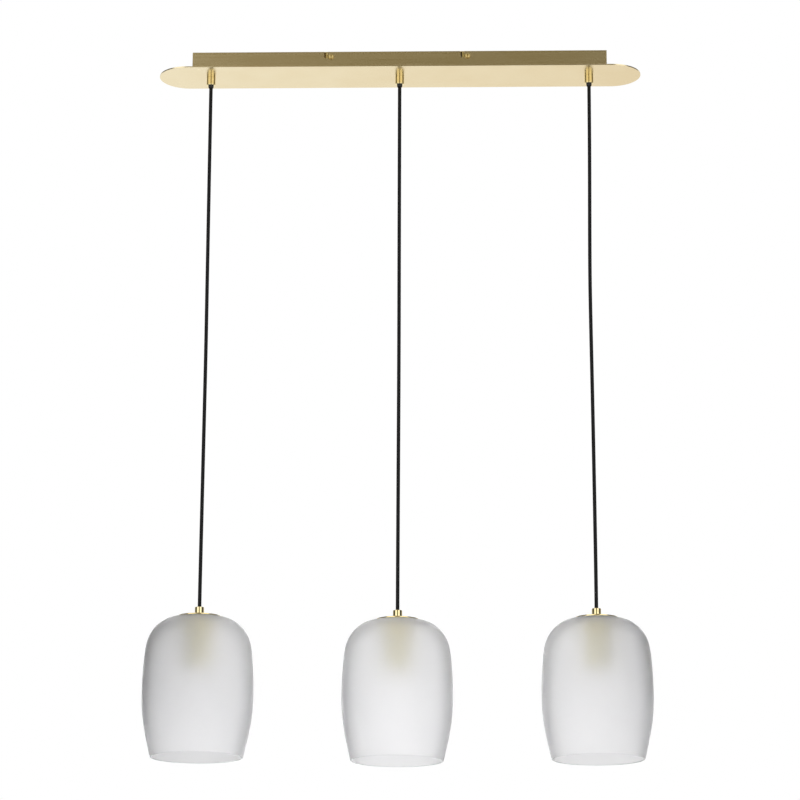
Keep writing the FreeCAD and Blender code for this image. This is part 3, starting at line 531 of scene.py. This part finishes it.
leadLines = {
    "left": [
        (-0.32, 0, -0.0375), (-0.32, 0, -0.013), (-0.296, -0.004, -0.0135), (-0.27, -0.01, -0.023),
        (-0.236, -0.014, -0.0282), (-0.187, -0.0124, -0.028), (-0.138, -0.014, -0.0282),
        (-0.089, -0.0124, -0.028), (-0.04, -0.014, -0.0282), (0.009, -0.0124, -0.028),
        (0.03, -0.0075, -0.024), (0.043, -0.005, -0.023), (0.053, -0.005, -0.023),
    ],
    "middle": [
        (0, 0, -0.0375), (0, 0, -0.013), (0.024, 0.002, -0.0135), (0.043, 0.005, -0.023),
        (0.053, 0.005, -0.023),
    ],
    "right": [
        (0.32, 0, -0.0375), (0.32, 0, -0.013), (0.296, -0.004, -0.0135), (0.27, -0.01, -0.023),
        (0.236, -0.014, -0.0282), (0.1943, -0.0124, -0.028), (0.1527, -0.014, -0.0282),
        (0.111, -0.0124, -0.028), (0.09, -0.0075, -0.024), (0.077, -0.005, -0.023), (0.067, -0.005, -0.023),
    ],
}


def sheathed(name, points, thick, material):
    line = bpy.data.curves.new(name, "CURVE")
    line.dimensions = "3D"
    spline = line.splines.new("NURBS")
    spline.points.add(len(points) - 1)
    for point, place in zip(spline.points, points):
        point.co = (*place, 1)
    spline.order_u = cordForm["order"]
    spline.use_endpoint_u = True
    spline.resolution_u = cordForm["steps"]
    line.bevel_depth, line.bevel_resolution = thick / 2 * mm, cordForm["roundSteps"]
    line.use_fill_caps = True
    line.materials.append(material)
    return line


for side, points in cordLines.items():
    name, thick = "cord" + side.capitalize(), cordForm["thick"]
    line = sheathed(name, points, thick, cordSheath)
    piece = placed(name, line, "hanger_" + side, "cord_" + side)
for side, points in leadLines.items():
    name, thick = "lead" + side.capitalize(), cordForm["leadThick"]
    line = sheathed(name, points, thick, leadSheath)
    piece = placed(name, line, "canopy", "lead_" + side)
print("cords and leads made")

# Canopy

# each piece's name, CAD node, material, slot, edge width and steps across the edge
canopyPieces = (
    ("frontPlate", "face_plate", brassSheet, "satin_brass", 0.45, 3),
    ("canopyTray", "canopy_box", brassSheet, "satin_brass", 0.4, 2),
    ("ceilingBracket", "mounting_bracket", yellowZinc, "yellow_zinc", 0.3, 2),
    ("terminalBlock", "terminal_block", whitePlastic, "white_plastic", 0.5, 2),
    ("earthScrew", "earth_screw", plainBrass, "plain_brass", 0.25, 2),
    ("earthNut", "earth_nut", plainBrass, "plain_brass", 0.25, 2),
)
for row in canopyPieces:
    softened(*row)

# The recess is a cross whose arms reach "recess" from the middle and narrow downwards to "recessFoot" of
# that; its cutter is "recessDeep" high and stands "recessPast" over the head. Places are x along the canopy
# and each screw's own turn.
sideScrew = {
    "head": 5.0, "thick": 3.0, "edge": 0.4, "domeSteps": 12, "shank": 2.45, "long": 6.0, "tip": 0.4,
    "recess": 2.2, "arm": 0.55, "recessDeep": 1.9, "recessPast": 0.6, "recessFoot": 0.55, "segments": 64,
    "seat": 33.2, "drop": 9.0, "places": ((-115, 0.35), (115, 1.1)),
}


def crossHeadScrew():
    # round head up the +Z axis with its seat at 0, and the shank below
    form = sideScrew
    head, thick, edge, shank, tip = (form[key] for key in ("head", "thick", "edge", "shank", "tip"))
    outline = [(0, thick)]
    for part in range(1, form["domeSteps"] + 1):
        angle = math.radians(90 * part / form["domeSteps"])
        outline.append((head * math.sin(angle), edge + (thick - edge) * math.cos(angle)))
    outline += [(head, 0), (shank, 0), (shank, -form["long"] + tip), (shank - tip, -form["long"])]
    outline.append((0, -form["long"]))
    cutter = bmesh.new()
    for turn in (0, math.pi / 2):
        made = bmesh.ops.create_cube(cutter, size=1)["verts"]
        for vert in made:
            slim = form["recessFoot"] if vert.co.z < 0 else 1.0
            reach, across = 2 * form["recess"] * slim, 2 * form["arm"]
            up = (vert.co.z - 0.5) * form["recessDeep"] + form["recessPast"] + thick
            vert.co = Vector((vert.co.x * reach, vert.co.y * across, up)) * mm
        bmesh.ops.rotate(cutter, verts=made, cent=(0, 0, 0), matrix=Matrix.Rotation(turn, 3, "Z"))
    return cutBlank("crossHead", outline, form["segments"], cutter, True)


screwPlaces = []
for x, turn in sideScrew["places"]:
    for face in (-1, 1):
        place = (x, face * sideScrew["seat"], -sideScrew["drop"])
        screwPlaces.append((place, (-face * math.pi / 2, -face * turn, 0)))
fastened("sideScrews", crossHeadScrew(), screwPlaces, plainBrass, "bracket", "bracket_screws")

# The flat of the nut's face reaches "chamfer" of the way to its sides, and falls from there by "slope".
nutForm = {
    "flats": 14.0, "thick": 3.5, "bore": 4.95, "boreSoft": 0.5, "chamfer": 0.96, "slope": 0.577,
    "segments": 96, "turns": (0.2, 0.75, 0.4),
}
washerForm = {
    "bore": 5.05, "wide": 8.5, "thick": 0.8, "rolled": 0.2, "soft": 0.15, "sharp": 0.1, "segments": 72,
}


def hexagonNut():
    half, thick, bore, soft = nutForm["flats"] / 2, nutForm["thick"], nutForm["bore"], nutForm["boreSoft"]
    flat = half * nutForm["chamfer"]

    def toSide(angle):
        return half / math.cos((angle + math.pi / 6) % (math.pi / 3) - math.pi / 6)

    def footOf(angle):
        return (toSide(angle) - flat) * nutForm["slope"]

    def topOf(angle):
        return thick - footOf(angle)

    outline = [(bore, soft), (bore, thick - soft), (bore + soft, thick), (flat, thick), (toSide, topOf)]
    outline += [(toSide, footOf), (flat, 0), (bore + soft, 0)]
    mesh = lathe("nutBlank", outline, nutForm["segments"])
    mesh.set_sharp_from_angle(angle=math.radians(making["pressedSharp"]))
    return mesh


def flatWasher():
    bore, wide, thick = washerForm["bore"], washerForm["wide"], washerForm["thick"]
    rolled, soft, sharp = washerForm["rolled"], washerForm["soft"], washerForm["sharp"]
    outline = [(bore, sharp), (bore, thick - sharp), (bore + soft, thick), (wide - rolled, thick)]
    outline += [(wide, thick - soft), (wide, sharp), (wide - sharp, 0), (bore + sharp, 0)]
    mesh = lathe("washerBlank", outline, washerForm["segments"])
    mesh.set_sharp_from_angle(angle=math.radians(making["pressedSharp"]))
    return mesh


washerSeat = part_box("nipple_washers")[0].z / mm
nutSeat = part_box("nipple_nuts")[0].z / mm
nutPlaces = [((x, 0, nutSeat), (0, 0, turn)) for x, turn in zip(sides.values(), nutForm["turns"])]
washerPlaces = [((x, 0, washerSeat), (0, 0, 0)) for x in sides.values()]
fastened("nippleNuts", hexagonNut(), nutPlaces, zincSteel, "canopy", "nipple_nuts")
fastened("nippleWashers", flatWasher(), washerPlaces, zincSteel, "canopy", "nipple_washers")

# The slot is "slot" wide, "slotBox" high in all, half of it below the top, and longer than the screw is wide.
terminalScrew = {
    "radius": 1.95, "soft": 0.25, "tip": 0.4, "slot": 0.8, "slotBox": 2, "slotReach": 2.4, "segments": 40,
    "places": ((51.5, -5), (68.5, -5), (51.5, 5), (68.5, 5)), "turns": (0.3, 1.4, 0.9, 2.2),
}


def slottedScrew(length):
    # short terminal screw with its top at 0 and a slot across it
    radius, soft, tip = terminalScrew["radius"], terminalScrew["soft"], terminalScrew["tip"]
    outline = [(0, 0), (radius - soft, 0), (radius, -soft), (radius, -length + tip), (radius - tip, -length)]
    outline.append((0, -length))
    cutter = bmesh.new()
    size = Vector((radius * terminalScrew["slotReach"], terminalScrew["slot"], terminalScrew["slotBox"]))
    for vert in bmesh.ops.create_cube(cutter, size=1)["verts"]:
        vert.co = vert.co * size * mm
    return cutBlank("slotted", outline, terminalScrew["segments"], cutter, False)


low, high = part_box("terminal_screws")
terminalPlaces = []
for (x, y), turn in zip(terminalScrew["places"], terminalScrew["turns"]):
    terminalPlaces.append(((x, y, high.z / mm), (0, 0, turn)))
blank = slottedScrew((high.z - low.z) / mm)
fastened("terminalScrews", blank, terminalPlaces, zincSteel, "canopy", "terminal_screws")
print("canopy made")

# Grips, bushes and lamps
threads = {
    "grip": {"radius": 4.95, "depth": 0.55, "pitch": 1.0, "wall": 0.9, "segments": 48, "perTurn": 8},
    "shell": {"radius": 13.75, "depth": 0.9, "pitch": 3.6, "wall": 0.4, "segments": 96, "perTurn": 14},
}


def threadedTube(name, node, material, slotName, form):
    low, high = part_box(node)
    length = (high.z - low.z) / mm
    values = {key.capitalize(): form[key] * mm for key in ("radius", "depth", "pitch")}
    values.update({"Length": length * mm, "Segments": form["segments"], "Metal": material})
    values["Rows"] = int(length / form["pitch"] * form["perTurn"])
    mesh = grown(name, rolledTree, values)
    mesh.transform(Matrix.Translation(((low.x + high.x) / 2, (low.y + high.y) / 2, low.z)))
    piece = placed(name, mesh, frame["nodes"][node]["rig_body"], node)
    wall = piece.modifiers.new("wall", "SOLIDIFY")
    wall.thickness, wall.offset = form["wall"] * mm, -1
    return piece


# a row ends with edge width and steps across the edge, or with a thread
pendantPieces = (
    ("gripSleeve", "grip_sleeve_", turnedBrass, "polished_brass", 0.22, 3),
    ("gripNipple", "grip_nipple_", zincSteel, "zinc_steel", threads["grip"]),
    ("swivelBush", "swivel_bush_", blackPlastic, "black_plastic", 0.2, 2),
    ("cordClamp", "cord_clamp_", blackPlastic, "black_plastic", 0.3, 2),
    ("lowerGrip", "lower_grip_", turnedBrass, "polished_brass", 0.22, 3),
    ("lampNipple", "lamp_nipple_", zincSteel, "zinc_steel", threads["grip"]),
    ("shadeCap", "shade_cap_", turnedBrass, "polished_brass", 0.5, 3),
    ("capGasket", "cap_gasket_", siliconeRubber, "silicone", 0.2, 2),
    ("holderShell", "holder_shell_", drawnBrass, "satin_brass", 0.25, 2),
    ("shadeRing", "shade_ring_", turnedBrass, "polished_brass", 0.4, 2),
    ("holderInsert", "holder_insert_", porcelain, "porcelain", 0.4, 2),
    ("lampShell", "lamp_shell_", nickelShell, "nickel_steel", threads["shell"]),
    ("centreContact", "centre_contact_", plainBrass, "plain_brass", 0.3, 2),
)
for side in sides:
    for name, node, *rest in pendantPieces:
        make = threadedTube if isinstance(rest[-1], dict) else softened
        make(name + side.capitalize(), node + side, *rest)


def blownShade(side):
    name = "glassShade" + side.capitalize()
    low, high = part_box("glass_shade_" + side)
    values = {"Waist": shadeForm["waist"] * mm, "Height": shadeForm["height"] * mm, "Glass": etchedGlass}
    values.update({"Segments": shadeForm["segments"], "Rows": shadeForm["rows"]})
    outside = grown(name, shadeTree, values)
    work = bmesh.new()
    work.from_mesh(outside)
    # the flat rest under the cap, from the cap's edge in to the hole
    borders = [edge for edge in work.edges if edge.is_boundary]
    top = [edge for edge in borders if edge.verts[0].co.z > shadeForm["topAbove"] * mm]
    inner = bmesh.ops.extrude_edge_only(work, edges=top)["geom"]
    for vert in [item for item in inner if isinstance(item, bmesh.types.BMVert)]:
        vert.co.xy = vert.co.xy.normalized() * shadeForm["hole"] * mm
    bmesh.ops.recalc_face_normals(work, faces=work.faces)
    highest = max(work.faces, key=lambda face: face.calc_center_median().z)
    if highest.normal.z < 0:
        bmesh.ops.reverse_faces(work, faces=work.faces)
    bmesh.ops.translate(work, verts=work.verts, vec=((low.x + high.x) / 2, 0, low.z))
    work.to_mesh(outside)
    work.free()
    outside.shade_smooth()
    outside.materials.append(rimGlass)
    piece = placed(name, outside, "lamp_" + side, "glass_shade_" + side)
    wall = piece.modifiers.new("wall", "SOLIDIFY")
    wall.thickness, wall.offset, wall.use_even_offset = shadeForm["wall"] * mm, -1, True
    wall.material_offset_rim = 1
    return softEdges(piece, shadeForm["rimRound"], shadeForm["rimSteps"], shadeForm["rimAngle"])


for side in sides:
    blownShade(side)
print("lamps made")

# Studio: a pale floor far below, soft light all round and a calm world

# Sizes are in metres. A fade is where something starts to show and where it shows in full, and "floorPale" is
# how much of the floor close to the lamp the camera sees as plain white.
studio = {
    "floorHeight": -2.1, "floorWide": 40.0, "floor": "#F5F4F3", "floorPale": 0.45, "paleFade": (3.0, 13.0),
    "floorLeft": (1.08, 1.1, 1.14, 1), "floorRight": (0.95, 0.905, 0.85, 1), "rightFade": (-1.2, 0.9),
    "around": 1.0, "overhead": 0.47, "overheadFade": (0.1, 0.85),
    "flags": ((-0.56, -1.13), (0.62, -1.1)), "flagFront": -0.4, "flagBack": 1.3, "flagHigh": -0.74,
    "flag": "#2C2C2C",
    "panels": (
        ("frontPanel", (0.1, -2.4, -0.6), (0, 0, -1.05), 1.2, 0.9, 5.5),
        ("lowPanel", (0, -0.6, -1.98), (0, -0.6, -1.2), 1.3, 0.5, 5.7),
    ),
}
# What polished metal sees. By heading, from 1 straight behind the camera to -1 straight beyond the lamp:
# wall, panels, dark sides, far end. By height, from -1 to 1: strip, above, below.
zones = {
    "wall": (0.19, 0.158, 0.076), "wallSlope": -2.33,
    "panel": 1.45, "floorPanel": 1.2, "panelFade": (0.982, 0.964),
    "side": 0.09, "sideStart": 0.62, "floorSideStart": 0.34, "sideSpan": 0.16,
    "far": 0.85, "farFade": (-0.5, -0.7),
    "strip": 1.0, "stripFade": (0.12, 0.05), "stripLowFade": (0.16, 0.11),
    "above": 0.5, "aboveFade": (0.45, 0.7), "belowFade": (-0.02, -0.1), "floorFade": (6.5, 8.0),
    "least": 0.001,
}


def grey(value):
    return (value, value, value, 1.0)


def laidOver(tree, base, reading, fade, tone):
    # a tone over the base, from none of it where the reading is at the fade's start to all of it at its end
    feeds = {"Value": reading, "From Min": fade[0], "From Max": fade[1]}
    share = addNode(tree, ranged, feeds, interpolation_type="SMOOTHSTEP")
    return addNode(tree, mixed, {"Fac": share, "Color1": base, "Color2": tone})


def roundTheLamp(tree, across, deep, panel, sideStart, far):
    squares = [addNode(tree, maths, {0: value, 1: value}, operation="MULTIPLY") for value in (across, deep)]
    total = addNode(tree, maths, {0: squares[0], 1: squares[1]}, operation="ADD")
    level = addNode(tree, maths, {0: total}, operation="SQRT")
    level = addNode(tree, maths, {0: level, 1: zones["least"]}, operation="MAXIMUM")
    back = addNode(tree, maths, {0: deep, 1: -1.0}, operation="MULTIPLY")
    behind = addNode(tree, maths, {0: back, 1: level}, operation="DIVIDE")
    aside = addNode(tree, maths, {0: across, 1: level}, operation="DIVIDE")
    slope = addNode(tree, maths, {0: aside, 1: zones["wallSlope"]}, operation="MULTIPLY")
    slope = addNode(tree, maths, {0: 1.0, 1: slope}, operation="ADD")
    seen = addNode(tree, "ShaderNodeVectorMath", {0: zones["wall"], "Scale": slope}, operation="SCALE")
    sideFade = (sideStart, sideStart - zones["sideSpan"])
    seen = laidOver(tree, seen, behind, zones["panelFade"], grey(panel))
    seen = laidOver(tree, seen, behind, sideFade, grey(zones["side"]))
    return laidOver(tree, seen, behind, zones["farFade"], far)


def makeFloor():
    half = studio["floorWide"] / 2
    mesh = bpy.data.meshes.new("floor")
    corners = [(-half, -half), (half, -half), (half, half), (-half, half)]
    mesh.from_pydata([(x, y, studio["floorHeight"]) for x, y in corners], [], [(0, 1, 2, 3)])
    painted = colour(studio["floor"])
    material, tree, shader = startMaterial("palePaintedFloor", Base_Color=painted, Roughness=0.8)
    # glass sees a white floor, a little brighter on the left; metal sees its zones for some metres round,
    # then white
    where = addNode(tree, "ShaderNodeTexCoord").outputs["Object"]
    across, deep = addNode(tree, "ShaderNodeSeparateXYZ", {"Vector": where}).outputs[:2]
    start, end = studio["rightFade"]
    rightShare = addNode(tree, ranged, {"Value": across, "From Min": start, "From Max": end})
    feeds = {"Fac": rightShare, "Color1": studio["floorLeft"], "Color2": studio["floorRight"]}
    white = addNode(tree, mixed, feeds)
    seen = roundTheLamp(tree, across, deep, zones["floorPanel"], zones["floorSideStart"], white)
    away = addNode(tree, "ShaderNodeVectorMath", {0: where}, operation="LENGTH").outputs["Value"]
    seen = laidOver(tree, seen, away, zones["floorFade"], grey(1.0))
    path = addNode(tree, "ShaderNodeLightPath").outputs
    seen = addNode(tree, mixed, {"Fac": path["Is Glossy Ray"], "Color1": white, "Color2": seen})
    seen = addNode(tree, mixed, {"Fac": path["Is Camera Ray"], "Color1": seen, "Color2": grey(1.0)})
    # the camera sees the painted floor with its shadows near the lamp, fading to white far off
    feeds = {"Value": away, "From Min": studio["paleFade"][0], "From Max": studio["paleFade"][1]}
    pale = addNode(tree, ranged, {**feeds, "To Min": studio["floorPale"]}, interpolation_type="SMOOTHSTEP")
    pale = addNode(tree, maths, {0: path["Is Camera Ray"], 1: pale}, operation="MULTIPLY")
    feeds = {0: path["Is Glossy Ray"], 1: path["Is Transmission Ray"]}
    bright = addNode(tree, maths, feeds, operation="MAXIMUM")
    bright = addNode(tree, maths, {0: bright, 1: pale}, operation="MAXIMUM")
    glow = addNode(tree, "ShaderNodeEmission", {"Color": seen})
    both = addNode(tree, "ShaderNodeMixShader", {0: bright, 1: shader, 2: glow})
    tree.links.new(both.outputs[0], tree.nodes["Material Output"].inputs["Surface"])
    mesh.materials.append(material)
    floor = bpy.data.objects.new("floor", mesh)
    bpy.context.scene.collection.objects.link(floor)


def makeFlags():
    # dark grey cards close beside the outer shades give the glass its darker outer edges; neither the camera
    # nor polished metal sees them
    material = startMaterial("greyCard", Base_Color=colour(studio["flag"]), Roughness=0.9)[0]
    front, back, high = studio["flagFront"], studio["flagBack"], studio["flagHigh"]
    for x, low in studio["flags"]:
        mesh = bpy.data.meshes.new("sideFlag")
        corners = [(x, front, low), (x, back, low), (x, back, high), (x, front, high)]
        mesh.from_pydata(corners, [], [(0, 1, 2, 3)])
        mesh.materials.append(material)
        flag = bpy.data.objects.new("sideFlag", mesh)
        bpy.context.scene.collection.objects.link(flag)
        flag.visible_camera = False
        flag.visible_glossy = False


def makeWorld():
    world = bpy.data.worlds.new("softStudio")
    world.use_nodes = True
    bpy.context.scene.world = world
    tree = world.node_tree
    tree.nodes.clear()
    heading = addNode(tree, "ShaderNodeTexCoord").outputs["Generated"]
    across, deep, up = addNode(tree, "ShaderNodeSeparateXYZ", {"Vector": heading}).outputs
    sky = roundTheLamp(tree, across, deep, zones["panel"], zones["sideStart"], grey(zones["far"]))
    # a low light strip straight out at each end of the lamp
    offAxis = addNode(tree, maths, {0: deep}, operation="ABSOLUTE")
    shares = []
    for reading, (start, end) in ((offAxis, zones["stripFade"]), (up, zones["stripLowFade"])):
        feeds = {"Value": reading, "From Min": start, "From Max": end}
        shares.append(addNode(tree, ranged, feeds, interpolation_type="SMOOTHSTEP"))
    strip = addNode(tree, maths, {0: shares[0], 1: shares[1]}, operation="MULTIPLY")
    sky = addNode(tree, mixed, {"Fac": strip, "Color1": sky, "Color2": grey(zones["strip"])})
    sky = laidOver(tree, sky, up, zones["aboveFade"], grey(zones["above"]))
    sky = laidOver(tree, sky, up, zones["belowFade"], grey(1.0))
    # glass and dull surfaces see white all round, dimmer overhead
    soft = laidOver(tree, grey(studio["around"]), up, studio["overheadFade"], grey(studio["overhead"]))
    path = addNode(tree, "ShaderNodeLightPath").outputs
    tone = addNode(tree, mixed, {"Fac": path["Is Glossy Ray"], "Color1": soft, "Color2": sky})
    tone = addNode(tree, mixed, {"Fac": path["Is Camera Ray"], "Color1": tone, "Color2": grey(1.0)})
    background = addNode(tree, "ShaderNodeBackground", {"Color": tone, "Strength": 1.0})
    tree.links.new(background.outputs[0], addNode(tree, "ShaderNodeOutputWorld").inputs["Surface"])


def softPanel(name, place, aim, wide, high, watts):
    light = bpy.data.lights.new(name, "AREA")
    light.shape, light.size, light.size_y, light.energy = "RECTANGLE", wide, high, watts
    lamp = bpy.data.objects.new(name, light)
    bpy.context.scene.collection.objects.link(lamp)
    lamp.location = place
    lamp.rotation_euler = (Vector(aim) - Vector(place)).to_track_quat("-Z", "Y").to_euler()
    lamp.visible_camera = False
    lamp.visible_glossy = False


makeFloor()
makeFlags()
makeWorld()
for panel in studio["panels"]:
    softPanel(*panel)
bpy.context.scene.view_settings.view_transform = "Standard"

print("scene done")
